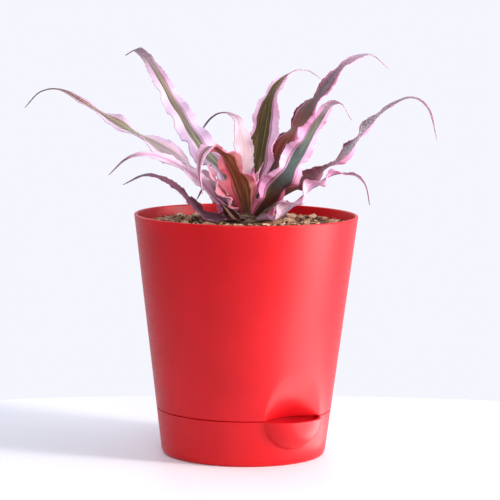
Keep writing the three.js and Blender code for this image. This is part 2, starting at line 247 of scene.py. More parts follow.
# the groove under the base, from, to and depth, and the fine ring moulded in
# its floor, as radius and height over the floor
GROOVE = (15, 35, 0.8)
BASE_RING = [(20, 0), (19.6, 0.5), (19.0, 0.5), (18.6, 0)]
MOUTH_HALF_WIDTH = 18.5
CUP_DEPTH = 7
CUP_HEIGHT = 16
CUP_ROUNDNESS = 0.62
# nearer to the axis than this, cup and dent leave a part round
ROUND_WITHIN = 19
TURN_STEPS = 288
CORNER_STEPS = 5
# how much closer the steps of a turn come at the mouth
CROWDING = 0.5
SAME_POINT = 1e-4


def tapered(height):
    """Outer radius of pot and base."""
    return FOOT_RADIUS + TAPER * height


def spread(low, high, steps):
    """Evenly spaced values from low to high, both included."""
    return [low + (high - low) * i / steps for i in range(steps + 1)]


def fade(angle, rise):
    """How far a wall stands from its round shape: 1 at the middle of the seam."""
    along_seam = angle * tapered(SEAM_HEIGHT) / MOUTH_HALF_WIDTH
    return max(0, 1 - along_seam**2 - rise**2)


def corner(radius, height, size, start, turn=90):
    """A rounded corner of a profile, about its middle, from start degrees."""
    angles = map(radians, spread(start, start + turn, CORNER_STEPS))
    return [(radius + size * cos(angle), height + size * sin(angle)) for angle in angles]


def turned(profile, shift=None, steps=TURN_STEPS):
    """A bmesh turned about Z. Shift moves its wall in or out near the mouth."""
    made = bmesh.new()
    corners = [made.verts.new((0, -radius, height)) for radius, height in profile]
    edges = [made.edges.new(pair) for pair in zip(corners, corners[1:])]
    bmesh.ops.spin(made, geom=corners + edges, axis=(0, 0, 1), angle=2 * pi, steps=steps, use_merge=True)
    bmesh.ops.remove_doubles(made, verts=made.verts, dist=SAME_POINT)
    for vert in made.verts:
        radius = hypot(vert.co.x, vert.co.y)
        if radius < SAME_POINT or shift is None:
            continue
        even = atan2(vert.co.x, -vert.co.y)
        angle = even - CROWDING * sin(even)
        moved = radius + shift(angle, vert.co.z, radius)
        vert.co = (moved * sin(angle), -moved * cos(angle), vert.co.z)
    bmesh.ops.recalc_face_normals(made, faces=made.faces)
    return made


def piece(name, made, finishes, slot, *replaced, sharp=35):
    """Makes an object of a bmesh in millimetres and gives it its place; its slot is not used."""
    bmesh.ops.scale(made, vec=(MM, MM, MM), verts=made.verts)
    new = object_of(name, made)
    new.data.shade_smooth()
    new.data.set_sharp_from_angle(angle=radians(sharp))
    for finish in finishes:
        new.data.materials.append(finish)
    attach(new, "root")
    if replaced:
        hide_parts(*replaced)
    return new


# fine satin texture of the mould, and a few faint rubs from handling
red_plastic, red_surface = plain_finish("red_plastic_skin", (0.58, 0.002, 0.006, 1), 0.4)
red_place = object_place(red_surface)
feed(red_surface, "Base Color",
     toned(noisy(red_place, 28, 3), (0.3, (0.53, 0.001, 0.005)), (0.7, (0.62, 0.003, 0.008))))
rubs = noisy(stretched(red_place, (1, 1, 5)), 120, 4, 0.65)
feed(red_surface, "Roughness", ranged(rubs, (0.3, 0.7), (0.35, 0.46)))
relief(red_surface, noisy(red_place, 2600, 2), 0.12, 0.0001)
soft_inside(red_surface, 0.3, 0.4, (0.004, 0.0006, 0.0006))


def cup(angle, height, radius):
    """How far the base's wall swells out at the mouth."""
    if radius < ROUND_WITHIN:
        return 0
    return CUP_DEPTH * fade(angle, (SEAM_HEIGHT - height) / CUP_HEIGHT) ** CUP_ROUNDNESS


base_top = SEAM_HEIGHT - GAP
groove_from, groove_to, groove_depth = GROOVE
base_heights = spread(BASE_ROUNDING, base_top - EDGE, 36)
base_profile = [
    (0, 0),
    (groove_from - EDGE, 0),
    (groove_from, EDGE),
    (groove_from + groove_depth, groove_depth),
    (groove_to - groove_depth, groove_depth),
    (groove_to, EDGE),
    (groove_to + EDGE, 0),
    *corner(tapered(0) - BASE_ROUNDING, BASE_ROUNDING, BASE_ROUNDING, -90, ROUNDING_TURN),
    *[(tapered(z), z) for z in base_heights[1:]],
    *corner(tapered(base_top) - EDGE, base_top - EDGE, EDGE, 0)[1:],
    (tapered(base_top) - WALL + EDGE, base_top),
    *[(tapered(z) - WALL, z) for z in reversed(base_heights[4:])],
    *corner(tapered(BASE_FLOOR) - WALL - BASE_ROUNDING, BASE_FLOOR + BASE_ROUNDING, BASE_ROUNDING, 0, -90),
    *[(radius, BASE_FLOOR + rise) for radius, rise in BASE_RING],
    (0, BASE_FLOOR),
]
piece("water_base_shell", turned(base_profile, cup), [red_plastic], "red_plastic", "water_base")

# The pot: a tapered shell of the same red plastic, with a thin rolled rim. Its
# foot nests in the base and a slotted well reaches down into the water.
POT_FLOOR = 19
POT_ROUNDING = 0.8
RIM_EDGE = 0.75
DENT_DEPTH = 7.5
DENT_HEIGHT = 27
# powers that shape the dent towards its two ends and towards its top
DENT_ENDS = 1.2
DENT_SCOOP = 1.4
# the wall's rows are close together up to here, where the dent ends
CLOSE_ROWS_TO = 50
WELL_RADIUS = 9.5
WELL_FLOOR = 3
WELL_WALL = 1.5
WELL_ROUNDING = 1
WELL_FILLET = 0.5
SLOTS = 6
SLOT_WIDTH = 2.4
SLOT_HEIGHT = 8
SLOT_MIDDLE = 10.5
DRAIN_RADIUS = 2.2
DRAIN_OUT = 24
# the part of the floor that holds the drain holes, from and to
DRAIN_BAND = (21, 34)


def dent(angle, height, radius):
    """How far the wall of the pot, and the mix behind it, is pressed in."""
    if radius < ROUND_WITHIN:
        return 0
    at_seam = fade(angle, 0)
    if at_seam == 0:
        return 0
    rise = max(0, height - SEAM_HEIGHT) / DENT_HEIGHT / sqrt(at_seam)
    return -DENT_DEPTH * at_seam**DENT_ENDS * max(0, 1 - rise) ** DENT_SCOOP


pot_under = POT_FLOOR - WALL
close_rows = spread(SEAM_HEIGHT + EDGE, CLOSE_ROWS_TO, 28)
pot_heights = close_rows + spread(CLOSE_ROWS_TO, POT_HEIGHT - RIM_EDGE, 20)[1:]
band_from, band_to = DRAIN_BAND
pot_profile = [
    (0, WELL_FLOOR),
    *corner(WELL_RADIUS - WELL_ROUNDING, WELL_FLOOR + WELL_ROUNDING, WELL_ROUNDING, -90),
    (WELL_RADIUS, pot_under - WELL_FILLET),
    (WELL_RADIUS + WELL_FILLET, pot_under),
    (band_from, pot_under),
    (band_to, pot_under),
    *corner(tapered(pot_under) - NEST - POT_ROUNDING, pot_under + POT_ROUNDING, POT_ROUNDING, -90),
    (tapered(SEAM_HEIGHT) - NEST, SEAM_HEIGHT),
    (tapered(SEAM_HEIGHT) - EDGE, SEAM_HEIGHT),
    *[(tapered(z), z) for z in pot_heights],
    *corner(RIM_RADIUS - RIM_EDGE, POT_HEIGHT - RIM_EDGE, RIM_EDGE, 0),
    *corner(RIM_RADIUS - WALL + RIM_EDGE, POT_HEIGHT - RIM_EDGE, RIM_EDGE, 90)[1:],
    *[(tapered(z) - WALL, z) for z in reversed(pot_heights[:-1])],
    (tapered(SEAM_HEIGHT) - NEST - WALL, SEAM_HEIGHT),
    (tapered(POT_FLOOR) - NEST - WALL, POT_FLOOR),
    (band_to, POT_FLOOR),
    (band_from, POT_FLOOR),
    (WELL_RADIUS - WELL_WALL, POT_FLOOR),
    (WELL_RADIUS - WELL_WALL - WELL_ROUNDING, WELL_FLOOR + WELL_WALL),
    (0, WELL_FLOOR + WELL_WALL),
]
pot = piece("pot_shell", turned(pot_profile, dent), [red_plastic], "red_plastic", "pot")
cuts = bmesh.new()
for i in range(SLOTS):
    slot_turn = Matrix.Rotation(2 * pi * i / SLOTS, 4, "Z")
    slot_place = Matrix.Translation((WELL_RADIUS - WELL_ROUNDING, 0, SLOT_MIDDLE))
    slot_size = Matrix.Diagonal((4 * WELL_WALL, SLOT_WIDTH, SLOT_HEIGHT, 1))
    bmesh.ops.create_cube(cuts, size=1, matrix=slot_turn @ (slot_place @ slot_size))
    drain_turn = Matrix.Rotation(2 * pi * (i + 0.5) / SLOTS, 4, "Z")
    drain_place = drain_turn @ Matrix.Translation((DRAIN_OUT, 0, POT_FLOOR - WALL / 2))
    bmesh.ops.create_cone(cuts, cap_ends=True, segments=24, radius1=DRAIN_RADIUS, radius2=DRAIN_RADIUS,
                          depth=3 * WALL, matrix=drain_place)
bmesh.ops.scale(cuts, vec=(MM, MM, MM), verts=cuts.verts)
cutter = object_of("well_cuts", cuts)
cutting = pot.modifiers.new("well_cuts", "BOOLEAN")
cutting.operation = "DIFFERENCE"
cutting.solver = "EXACT"
cutting.object = cutter
finished = bpy.data.meshes.new_from_object(pot.evaluated_get(bpy.context.evaluated_depsgraph_get()))
pot.modifiers.clear()
pot.data = finished
finished.name = "pot_shell"
bpy.data.objects.remove(cutter)

# The potting mix: coir crumb that fills the pot to just under its rim, packed
# by hand, so its top is uneven.
SOIL_HEIGHT = 123
SOIL_CROWN = 1.2
STEM_RADIUS = 6.8
STEM_FOOT = 109
# how far the top is uneven, the size of its lumps, how many crumbs lie in a
# millimetre, and the shares of lumps, crumbs and settling
UNEVEN_DEPTH = 1.5
LUMP_SIZE = 6.5
CRUMBS_PER_MM = 1.3
LUMP_SHARE = 0.8
CRUMB_SHARE = 0.4
SETTLED = 0.15
MIX_SLACK = 0.05


def soil_top(radius):
    """Height of the mix at a radius, before it is made uneven."""
    return SOIL_HEIGHT + SOIL_CROWN * (1 - radius / RIM_RADIUS)


mix_skin, mix_surface = plain_finish("husk_mix", (0.2, 0.12, 0.06, 1), 0.95)
mix_place = object_place(mix_surface)
crumb = node(mix_surface.id_data, "TexVoronoi", output="Color", Vector=mix_place, Scale=520)
feed(mix_surface, "Base Color",
     toned(crumb, (0, (0.016, 0.006, 0.003)), (0.6, (0.075, 0.032, 0.014)), (1, (0.30, 0.17, 0.085))))
relief(mix_surface, noisy(mix_place, 1100, 5), 0.8, 0.0006)
mix_surface.inputs["Specular IOR Level"].default_value = 0.25

mix_bottom = POT_FLOOR + GAP
in_well = WELL_RADIUS - WELL_WALL - GAP
hole = STEM_RADIUS + GAP
soil_edge = tapered(SOIL_HEIGHT) - WALL - GAP
mix_heights = spread(SEAM_HEIGHT, CLOSE_ROWS_TO, 26) + spread(CLOSE_ROWS_TO, SOIL_HEIGHT - 0.5, 10)[1:]
mix_profile = [
    (0, WELL_FLOOR + WELL_WALL + GAP),
    (in_well - 1, WELL_FLOOR + WELL_WALL + GAP),
    (in_well, mix_bottom),
    (tapered(mix_bottom) - NEST - WALL - GAP, mix_bottom),
    (tapered(SEAM_HEIGHT) - NEST - WALL - GAP, SEAM_HEIGHT),
    *[(tapered(z) - WALL - GAP - MIX_SLACK, z) for z in mix_heights],
    *[(radius, soil_top(radius)) for radius in spread(soil_edge - 0.4, hole, 54)],
    (hole, STEM_FOOT - GAP),
    (0, STEM_FOOT - GAP),
]
mix = turned(mix_profile, dent)
for vert in mix.verts:
    radius = hypot(vert.co.x, vert.co.y)
    if vert.co.z > SOIL_HEIGHT - 0.2 and radius > hole + 0.1:
        lumps = noise.fractal(vert.co / LUMP_SIZE, 0.8, 2.1, 5)
        crumbs = noise.noise(vert.co * CRUMBS_PER_MM)
        vert.co.z += UNEVEN_DEPTH * (lumps * LUMP_SHARE + crumbs * CRUMB_SHARE - SETTLED)
piece("potting_mix_body", mix, [mix_skin], "potting_mix", "potting_mix", sharp=180)

# Husk chips: torn flakes of coconut husk, 1 to 9 mm long, lying loose in the
# top of the mix. The larger ones lie where the solid of the mix has them.
CHIPS = 40
CHIP_SPACING = 8.5
CHIP_RING = (15, 52)
CHIP_LIFT = 0.6
SMALL_CHIPS = 900
SMALL_RING = (11, 55.5)
# how far corners are torn out of place: along and across by share of the
# radius, and up or down by share of the thickness
TORN = (0.3, 0.2, 0.12)

chip_skin, chip_surface = plain_finish("husk_chip", (0.5, 0.3, 0.16, 1), 0.8)
chip_shade = node(chip_surface.id_data, "Attribute", {"attribute_name": "shade"}, "Fac")
chip_tone = toned(chip_shade, (0, (0.05, 0.018, 0.008)), (0.35, (0.22, 0.080, 0.038)),
                  (0.7, (0.58, 0.31, 0.18)), (1, (0.84, 0.54, 0.36)))
husk_grain = noisy(object_place(chip_surface), 900, 4)
feed(chip_surface, "Base Color", scaled(chip_tone, ranged(husk_grain, (0.3, 0.7), (0.55, 1.15))))
relief(chip_surface, husk_grain, 0.6, 0.0003)


def seeded(seed):
    """Random numbers from 0 to 1, the same ones that place the solid's chips."""
    state = seed
    while True:
        state = state * 16807 % 2147483647
        yield state / 2147483647


draws = seeded(7)
chance = random.Random(11)


def drawn(low, high):
    """The next of the solid's own random numbers, between two values."""
    return low + (high - low) * next(draws)


def ring_place(low, high):
    """A random radius and angle, spread evenly over a ring."""
    return sqrt(chance.uniform(low**2, high**2)), chance.uniform(0, 2 * pi)


def on_mix(radius, angle, lift=0):
    """A place on the top of the mix, or a lift above it."""
    return Vector((radius * cos(angle), radius * sin(angle), soil_top(radius) + lift))


def add_chip(made, shade, tone, place, top, bottom, thick, flat, tilt, turn, sides):
    """One torn flake: a flat cone with its corners moved out of place."""
    torn_along, torn_across, torn_up = TORN
    lie = Matrix.Translation(place) @ Matrix.Rotation(turn, 4, "Z") @ Matrix.Rotation(tilt, 4, "Y")
    flake = bmesh.ops.create_cone(made, cap_ends=True, segments=sides, radius1=bottom, radius2=top,
                                  depth=thick, matrix=lie @ Matrix.Diagonal((1, flat, 1, 1)))["verts"]
    for vert in flake:
        torn = Vector((chance.uniform(-1, 1) * torn_along, chance.uniform(-1, 1) * torn_across, 0))
        vert.co += lie.to_3x3() @ torn * top
        vert.co.z += chance.uniform(-1, 1) * thick * torn_up
        vert[shade] = tone


flakes = bmesh.new()
shade_layer = flakes.verts.layers.float.new("shade")
placed = []
while len(placed) < CHIPS:
    radius = sqrt(drawn(CHIP_RING[0] ** 2, CHIP_RING[1] ** 2))
    angle = drawn(0, 2 * pi)
    spot = on_mix(radius, angle)
    if any((spot - other).length < CHIP_SPACING for other in placed):
        continue
    placed.append(spot)
    top, bottom, thick = drawn(3, 4), drawn(3.5, 4.6), drawn(2.4, 3.4)
    flat, tilt, turn = drawn(0.45, 0.7), drawn(-0.25, 0.25), drawn(0, pi)
    add_chip(flakes, shade_layer, chance.uniform(0.4, 1), spot + Vector((0, 0, CHIP_LIFT)), top,
             bottom * 1.05, thick * 0.7, flat, tilt, turn, chance.choice((5, 6, 7)))
bmesh.ops.bevel(flakes, geom=flakes.edges[:], offset=0.16, segments=1, profile=0.5, affect="EDGES",
                material=-1)
piece("large_husk_chips", flakes, [chip_skin], "potting_mix", sharp=30)

bits = bmesh.new()
shade_layer = bits.verts.layers.float.new("shade")
for _ in range(SMALL_CHIPS):
    radius, angle = ring_place(*SMALL_RING)
    size = 0.6 + 2.2 * chance.random() ** 2
    spot = on_mix(radius, angle, chance.uniform(0.2, 1.3))
    add_chip(bits, shade_layer, chance.random(), spot, size, size * chance.uniform(0.9, 1.3),
             chance.uniform(0.3, 0.9), chance.uniform(0.3, 0.8), chance.uniform(-0.7, 0.7),
             chance.uniform(0, pi), chance.choice((4, 5)))
piece("small_husk_chips", bits, [chip_skin], "potting_mix", sharp=30)

# Coir fibres: stiff straw-coloured threads from the husk, each bent a little,
# scattered over the mix.
FIBRES = 190
FIBRE_RING = (12, 54)
FIBRE_LIFT = 1.0
FIBRE_STEPS = 6
FIBRE_ARCH = 0.35
# the least distance of a fibre from the pot's wall
FIBRE_CLEAR = 0.6
fibre_skin = plain_finish("coir_fibre", (0.46, 0.27, 0.12, 1), 0.7)[0]
threads = bmesh.new()
for _ in range(FIBRES):
    radius, angle = ring_place(*FIBRE_RING)
    heading = chance.uniform(0, 2 * pi)
    thick = chance.uniform(0.12, 0.24)
    stride = chance.uniform(0.8, 1.7)
    bend = chance.uniform(-0.3, 0.3)
    spot = Matrix.Translation(on_mix(radius, angle, FIBRE_LIFT))
    lie = spot @ Matrix.Rotation(heading, 4, "Z") @ Matrix.Rotation(pi / 2, 4, "Y")
    ring = bmesh.ops.create_circle(threads, cap_ends=True, segments=4, radius=thick, matrix=lie)
    face = ring["verts"][0].link_faces[0]
    for step in range(FIBRE_STEPS):
        heading += bend
        grown = bmesh.ops.extrude_face_region(threads, geom=[face])["geom"]
        face = [part for part in grown if isinstance(part, bmesh.types.BMFace)][0]
        rise = FIBRE_ARCH * (1 - step) / FIBRE_STEPS
        move = Vector((cos(heading) * stride, sin(heading) * stride, rise))
        bmesh.ops.translate(threads, vec=move, verts=face.verts)
bmesh.ops.recalc_face_normals(threads, faces=threads.faces)
outer = soil_edge - FIBRE_CLEAR
for vert in threads.verts:
    reach = hypot(vert.co.x, vert.co.y)
    if reach > outer:
        vert.co.x *= outer / reach
        vert.co.y *= outer / reach
piece("coir_fibres", threads, [fibre_skin], "potting_mix", sharp=180)

# The stem: short, stout and woody, ringed with the scars of leaves that have
# dropped. It stands in the mix and narrows up into the heart of the rosette.
STEM_TOP_RADIUS = 3.4
STEM_NARROWS = 133
STEM_TOP = 144
SCAR_DEPTH = 0.35
SCARS_PER_MM = 1.45


def stem_radius(height):
    """Radius of the stem, which is even below and narrows towards its top."""
    taper = max(0, height - STEM_NARROWS) / (STEM_TOP - STEM_NARROWS)
    return STEM_RADIUS + (STEM_TOP_RADIUS - STEM_RADIUS) * taper


stem_skin, stem_surface = plain_finish("woody_stem", (0.2, 0.13, 0.07, 1), 0.85)
scars = noisy(stretched(object_place(stem_surface), (1, 1, 3)), 400, 4)
feed(stem_surface, "Base Color", toned(scars, (0.35, (0.05, 0.025, 0.02)), (0.7, (0.30, 0.17, 0.10))))
relief(stem_surface, scars, 0.7, 0.0005)
stem_profile = [(0, STEM_FOOT), (STEM_RADIUS - 1.5, STEM_FOOT), (STEM_RADIUS - 0.4, STEM_FOOT + 3)]
for height in spread(STEM_FOOT + 4, STEM_TOP, 70):
    scar = abs(sin(height * SCARS_PER_MM)) ** 3
    stem_profile.append((stem_radius(height) - SCAR_DEPTH * scar, height))
stem_profile += [(STEM_TOP_RADIUS / 2, STEM_TOP + 1.5), (0, STEM_TOP + 2)]
piece("leaf_scarred_stem", turned(stem_profile, steps=64), [stem_skin], "stem", "stem", sharp=60)

# The leaves: leathery straps with waved, finely toothed margins. Each has an
# olive band down its middle between pink margins, and a scurfy grey underside.
# Places along a blade are shares of its length. Waves, ripples and channel are
# measured in half widths.
RIB_THICKNESS = 1.15
MARGIN_THICKNESS = 0.5
THICKNESS_POWER = 0.8
TIP_THINNING = 0.45
# no blade is thicker than this many of its half widths
STOUTEST = 2.2
# thickness of the solids' leaves, which sets where a blade leaves the stem
SOLID_RIB = 1.3
SOLID_MARGIN = 0.7
WIDEST_AT = 0.24
TAIL = 0.88
TAPER_POWER = 1.3
BASE_SHARE = 0.4
TIP_HALF_WIDTH = 0.75
END_HALF_WIDTH = 0.16
END_FROM = 0.88
ROUND_END = 0.06
BASE_CHANNEL = 0.45
TIP_CHANNEL = 0.15
WAVES_GROW_BY = 0.2
# between these two places the waves calm down to this share
WAVES_CALM = (0.55, 0.8)
CALM_SHARE = 0.35
WAVE_POWER = 1.5
WAVE_DRIFT = 0.4
WAVE_SWELL = 0.22
WAVE_SPREAD = 0.07
SLOW_UNTIL = 0.42
RIPPLE = 0.05
FINE_RIPPLE = 0.6
# rates of left and right margin, which keep them from looking alike
DRIFT_RATES = (9, 11)
SWELL_RATES = (13, 17)
RIPPLE_RATES = (2.9, 2.7)
FINE_RIPPLE_RATES = (4.3, 4.6)
STEPS_ACROSS = 18
ROW_LENGTH = 0.62
LEAST_ROWS = 40
LINE_STEPS = 120
TOOTH_ROWS = 5
TOOTH_SIZE = 0.5
TOOTH_LEAN = 0.7
TOOTH_LUCK = (0.45, 1.15)
TEETH_GROW_BY = 0.08
# teeth shrink as the half width goes down from the second value to the first
TOOTH_WIDTHS = (1.2, 4.2)
TIP_PAINT = (0.72, 0.86)
SCURF_SCALE = 850
PLACE_LAYERS = ("across", "along", "face")
PAINTED = ("band", "edge", "line", "streak")
LEVELS = ("share", "offset", "scurf", "stripes", "rim")


def paint(red, green, blue):
    """A colour from its screen values."""
    screen = [value / 255 for value in (red, green, blue)]
    return tuple(value / 12.92 if value <= 0.04 else ((value + 0.055) / 1.055) ** 2.4 for value in screen)


PAINTS = {name: paint(*shade) for name, shade in {
    "cream": (226, 206, 190), "blush": (236, 196, 212), "pale_pink": (240, 190, 216),
    "pink": (228, 150, 188), "rose": (214, 104, 136), "salmon": (250, 142, 150), "wine": (120, 32, 50),
    "plum": (88, 44, 58), "mauve": (150, 96, 122), "dusk": (112, 66, 84), "umber": (66, 36, 20),
    "rust": (134, 76, 46), "tan": (214, 168, 118), "olive": (92, 80, 46), "khaki": (150, 138, 104),
    "sage": (132, 132, 112), "teal_grey": (72, 88, 86), "silver": (150, 146, 152), "slate": (96, 90, 96),
    "coal": (44, 34, 30), "bark": (68, 38, 12), "moss": (82, 74, 36), "peach": (208, 180, 160),
    "coral": (252, 156, 166), "lilac": (216, 186, 212), "pearl": (204, 180, 184), "ivory": (222, 204, 190),
    "sunlit_pink": (196, 142, 170), "ash": (128, 112, 120), "pale_ash": (176, 154, 168),
    "drab": (96, 88, 76), "lavender": (200, 174, 208),
}.items()}
UPPER = dict(band="olive olive khaki", edge="rose pink pale_pink pink", line="cream", share=0.42, offset=0,
             scurf=0.1, stripes=0, rim=0.2)
UNDER = dict(UPPER, band="umber dusk slate", edge="rose mauve pink", line="mauve", share=0.62,
             scurf=0.55, rim=0.3)
# heading: degrees from +X. foot: height at the stem. line: points down the
#   middle, as distance from the axis and height, with a third value where the
#   heading differs. turn: the same for the foot.
# width: the widest. tail: share of the rest after which the taper would end.
# waves, wave: their number and height. phase, lag: quarters of a wave that both
#   margins, or only the left one, are ahead. slow: quarters a length held back up
#   to SLOW_UNTIL. pinch: widths of the right half. roll: degrees about the line.
# ripple, tooth: sizes of fine ripples and teeth. tip: paint of the tail. tipped: 0
#   for a leaf without one.
# upper, under: the looks of both faces, from foot to tip: paints of band and edge,
#   of the line between them and of streaks in the band; share of the half width
#   that the band takes, offset of its middle, scurf, stripes in the edge, dark rim.
LEAVES = {
    "leaf_01": dict(
        heading=126, foot=133, width=14, waves=5, wave=0.5, phase=2, lag=2, roll=-20, tip="drab",
        line=[(22, 143), (35, 154.5), (62, 169), (88, 182.5), (106, 192), (119, 191), (128.5, 182)],
        upper=dict(band="rust pale_ash sage olive drab", edge="blush lilac sunlit_pink",
            share=[0.45, 0.5, 0.55, 0.6], line="peach peach pink"),
        under=dict(band="dusk sage olive drab", edge="lilac lilac sunlit_pink",
            share=[0.5, 0.45, 0.5, 0.6])),
    "leaf_02": dict(
        heading=102, foot=136, width=17, waves=6, wave=0.3, roll=-20, tail=1.15, tip="ash",
        line=[(17, 150), (33.5, 162.3), (46, 175.5), (58, 189.5), (71, 205), (82, 213.6), (92, 210.5)],
        upper=dict(band="sage sage drab drab slate", line_left="cream cream peach", line_right="mauve",
            edge_left="lilac lilac lilac sunlit_pink", edge_right="lilac lilac sunlit_pink",
            share=[0.3, 0.34, 0.3, 0.35, 0.6], offset=[0, -0.05, -0.1], streak="cream khaki"),
        under=dict(band="dusk mauve", edge="mauve mauve pink", share=0.5)),
    "leaf_03": dict(
        heading=158, foot=127.5, width=13, waves=4, wave=0.2, roll=-30, tip="ash",
        line=[(18, 138), (28, 149), (38, 155.5), (47, 159.7), (57, 161.3), (66, 158.7), (75, 150.5)],
        upper=dict(band="mauve pink pink mauve", line="blush", share=0.25,
            edge="mauve blush blush pale_pink pink"),
        under=dict(band="wine mauve mauve", edge="salmon blush pink", share=0.3)),
    "leaf_04": dict(
        heading=164, foot=125.5, width=12, waves=4, wave=0.12, roll=-28, tooth=1.4, tip="slate",
        line=[(16, 126.5), (24, 128.3), (30, 134.7), (37, 141.3), (46, 148), (57, 150.8), (69, 146)],
        upper=dict(band="plum plum dusk slate", edge="plum dusk plum", share=0.6, line="plum",
            streak="dusk"),
        under=dict(band="dusk mauve dusk slate", edge="dusk mauve dusk", share=0.6, rim=0.6)),
    "leaf_05": dict(
        heading=89, foot=142, width=11, waves=4, wave=0.25, tail=0.55, tip="slate",
        line=[(6, 158, -20), (8, 176.5), (16, 181.5), (23, 182), (30, 180.4), (38, 176), (45.5, 169)],
        upper=dict(band="ivory pearl sage dusk", edge="pearl pearl sunlit_pink dusk",
            share=[0.2, 0.25, 0.5], stripes=0.8, line="pink pink pink dusk", streak="sage sage dusk"),
        under=dict(band="mauve mauve dusk dusk", edge="pink mauve dusk", share=0.5)),
    "leaf_06": dict(
        heading=192, foot=131, width=17, waves=5, wave=0.35, turn=40, ripple=0.07, tipped=0, tooth=0.3,
        line=[(9.5, 142, 24), (15, 156, 6), (25, 166), (35, 163), (37, 153), (34, 141)],
        upper=dict(band="umber rust dusk mauve", edge="rose pink pale_pink", share=0.4),
        # the underside's umber and rust band is partly its own darker middle and partly painted shade, with
        # red light from the pot painted in; its wine line beside the band is a painted fold shadow
        under=dict(band="umber rust rust mauve dusk", line_left="tan", line_right="wine wine wine mauve",
            streak="rust tan tan pink", edge_left="wine salmon coral pale_pink pale_pink",
            edge_right="wine salmon coral pale_pink blush", share=[0.5, 0.5, 0.45, 0.25, 0.25],
            offset=[0.1, 0.15, 0.15, 0, 0], scurf=0.05, rim=0.1)),
    "leaf_07": dict(
        heading=176, foot=131, width=15, waves=3, wave=0.45, roll=-45, ripple=0.02, tooth=0.2, tail=1.25,
        tipped=0, line=[(13, 139), (20, 148), (25, 157)],
        # the wine lines on both faces, and the stripes of them in the upper edge, are painted fold shadows
        upper=dict(band="wine wine rose pink", edge="salmon coral blush", share=0.12, line="wine rose",
            stripes=0.6),
        under=dict(band="wine rose rose", edge="coral blush blush", share=0.15, scurf=0.05, line="wine")),
    "leaf_08": dict(
        heading=22, foot=139, width=19, waves=5, wave=0.3, tail=0.62, tip="pale_ash",
        line=[(11, 152), (15, 163.5), (18.5, 175.5), (23.5, 189), (30, 196.5), (44, 203), (61, 204),
              (79, 198)],
        upper=dict(band="olive moss moss olive slate slate", streak="khaki",
            edge="pink pale_pink pale_pink pink mauve", share=[0.62, 0.6, 0.5, 0.5, 0.8],
            offset=[0.15, 0.2, 0.15, 0, 0], line_left="pale_pink", line_right="plum"),
        under=dict(band="olive slate", edge="pink pale_pink mauve", share=0.5)),
    "leaf_09": dict(
        heading=-11, foot=134, width=15, waves=6, wave=0.35, lag=2, roll=15, tail=1.05, tip="pale_ash",
        line=[(21, 163.5), (30, 175.5), (44.5, 194), (58, 208.5), (73, 213.7), (85, 206)],
        under=dict(band="umber umber plum slate slate khaki mauve",
            edge_left="dusk dusk plum dusk pink pink", edge_right="rose pink pink pale_pink pink",
            share=[0.5, 0.6, 0.66, 0.7, 0.6, 0.6], line="salmon pink mauve pink",
            scurf=[0.1, 0.3, 0.7, 0.5, 0.1], rim=0.35),
        upper=dict(band="umber umber rust drab ash pale_ash pale_ash",
            edge_left="dusk plum plum dusk pink pink", edge_right="salmon pink pink pink pink",
            line="salmon pink pale_ash pale_ash pink", streak="salmon rose mauve pale_ash pale_ash",
            share=[0.5, 0.6, 0.7, 0.75, 0.6, 0.6], scurf=[0.0, 0.1, 0.4, 0.3, 0.0])),
    "leaf_10": dict(
        heading=-78, foot=129, width=19, waves=5, wave=0.3, roll=-20, tail=1, tip="pale_ash",
        line=[(16, 137), (29, 153), (44, 174), (56, 189), (65, 191), (72, 183)],
        under=dict(band="bark bark teal_grey teal_grey drab umber pink",
            edge_right="rose pink pale_pink pink pink pink",
            edge_left="rose rose pale_pink sunlit_pink sunlit_pink pink",
            line_right="coal coal plum plum mauve", line_left="bark mauve lavender lavender pink",
            streak="umber umber sage teal_grey khaki", scurf=0.12,
            share=[0.6, 0.55, 0.45, 0.42, 0.4, 0.4])),
    "leaf_11": dict(
        heading=-29, foot=132, width=14, waves=7, wave=0.42, phase=1, lag=2, roll=-44, tail=0.7, slow=10,
        pinch=[1, 1, 0.6, 0.3, 0.9, 1, 1, 1, 1], tip="pale_ash",
        line=[(26, 142.5), (40.5, 153), (54, 162.5), (64, 175.5), (75, 186), (88, 192), (98, 186),
              (103, 169)],
        under=dict(band="umber umber plum slate slate slate slate pale_ash",
            edge_right="plum plum plum dusk slate slate", edge_left="plum plum pink sunlit_pink slate",
            share=[0.7, 0.6, 0.5, 0.7, 0.8, 0.9], offset=-0.25, scurf=[0, 0, 0.2, 0.9, 0.6, 0.2, 0.0],
            line="plum plum dusk slate", rim=0.4),
        upper=dict(band="umber plum slate mauve", share=0.6, edge="wine plum pink pink mauve")),
    "leaf_12": dict(
        heading=-56, foot=126, width=18, waves=5, wave=0.5, tip="dusk",
        line=[(19, 128.4), (31, 139.4), (46, 151), (58, 153), (66, 148), (69, 137)],
        upper=dict(band="mauve pink mauve slate slate", line="mauve", edge="pink pale_pink pink dusk",
            share=[0.25, 0.25, 0.4, 0.8, 1], rim=0.4),
        under=dict(band="plum lavender mauve dusk", edge="blush blush pink mauve", share=0.35, rim=0.8)),
    "leaf_13": dict(
        heading=212, foot=126, width=9, waves=2, wave=0.15,
        line=[(18, 129), (29, 135), (41, 141)],
        upper=dict(band="cream", edge="coal", share=0.3, line="coal", streak="cream"),
        under=dict(band="cream", edge="coal", share=0.3, line="coal", streak="cream", scurf=0.1)),
    "leaf_14": dict(
        heading=62, foot=133, width=15, waves=4, wave=0.4, phase=1,
        line=[(24, 143), (48, 149), (70, 143), (82, 131)]),
    "leaf_15": dict(
        heading=36, foot=130, width=14, waves=4, wave=0.4, phase=2,
        line=[(20, 136), (36, 141), (50, 138), (58, 130)]),
    "leaf_16": dict(
        heading=84, foot=126, width=13, waves=4, wave=0.4, phase=3,
        line=[(20, 130), (34, 137), (46, 139), (55, 132)]),
    "leaf_17": dict(
        heading=16, foot=126, width=13, waves=4, wave=0.4,
        line=[(18, 129), (31, 134), (42, 131)]),
}
